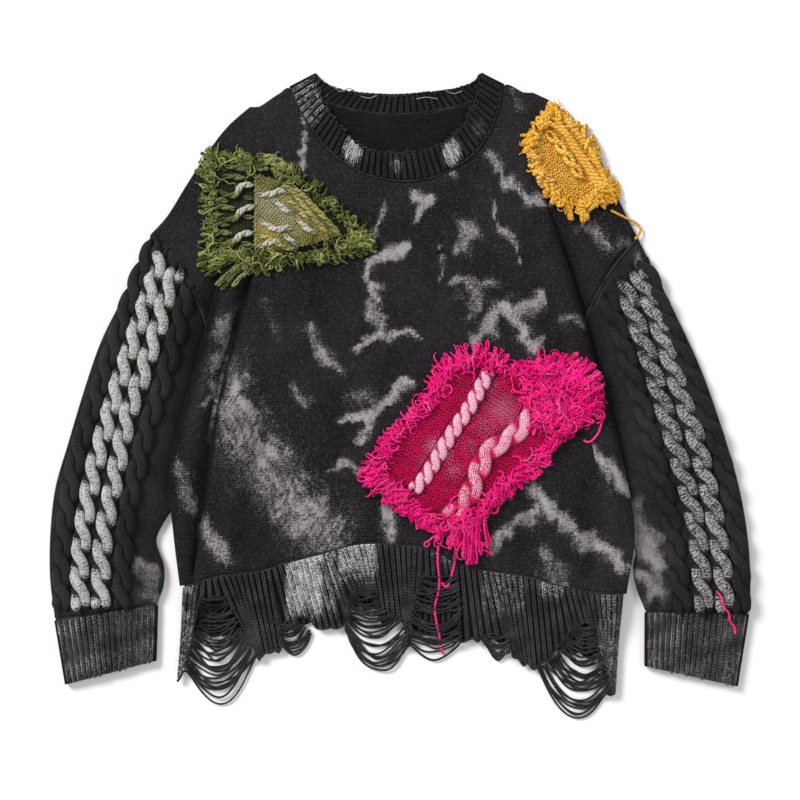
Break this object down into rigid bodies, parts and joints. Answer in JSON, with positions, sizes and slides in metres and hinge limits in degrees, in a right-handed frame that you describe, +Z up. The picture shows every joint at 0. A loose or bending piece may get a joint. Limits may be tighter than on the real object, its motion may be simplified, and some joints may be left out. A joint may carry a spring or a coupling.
{
  "type": "patched wool sweater",
  "caption": "Oversized, worn wool pullover laid flat on its back, with cabled sleeves, ragged knitted patches, a frayed neckband and a laddered hem.",
  "frame": {"origin": "on the table, under the middle of the laid-out sweater's outline", "axes": "+Z up from the table, +Y from the hem to the neck, +X to the right as seen from above"},
  "size_m": [0.7832, 0.7323, 0.0275],
  "materials": {
    "body_knit": "fine charcoal plain knit with mauve-grey bleach smudges",
    "sleeve_knit": "charcoal cable knit, two cables of each sleeve rubbed with white",
    "rib_knit": "charcoal ribbed knit, rubbed white in places",
    "loose_yarn": "loose charcoal yarns",
    "olive_knit": "mossy olive and khaki knit",
    "magenta_knit": "shaggy magenta and pink knit",
    "yellow_knit": "mustard yellow knit"
  },
  "bodies": {
    "root": {"front_panel": "body_knit", "back_panel": "body_knit", "left_sleeve": "sleeve_knit", "right_sleeve": "sleeve_knit", "left_cuff": "rib_knit", "right_cuff": "rib_knit", "neckband": "rib_knit", "front_hem_rib": "rib_knit", "back_hem_rib": "rib_knit", "ladder_left": "loose_yarn", "ladder_small_left": "loose_yarn", "ladder_middle": "loose_yarn", "ladder_patch": "loose_yarn", "ladder_small_right": "loose_yarn", "ladder_right": "loose_yarn", "olive_patch": "olive_knit", "olive_flap": "olive_knit", "olive_fringe": "olive_knit", "magenta_patch": "magenta_knit", "magenta_fringe": "magenta_knit", "yellow_patch": "yellow_knit", "yellow_fringe": "yellow_knit", "magenta_tail": "magenta_knit", "cuff_tail": "magenta_knit", "yellow_tail": "yellow_knit"}
  },
  "joints": []
}
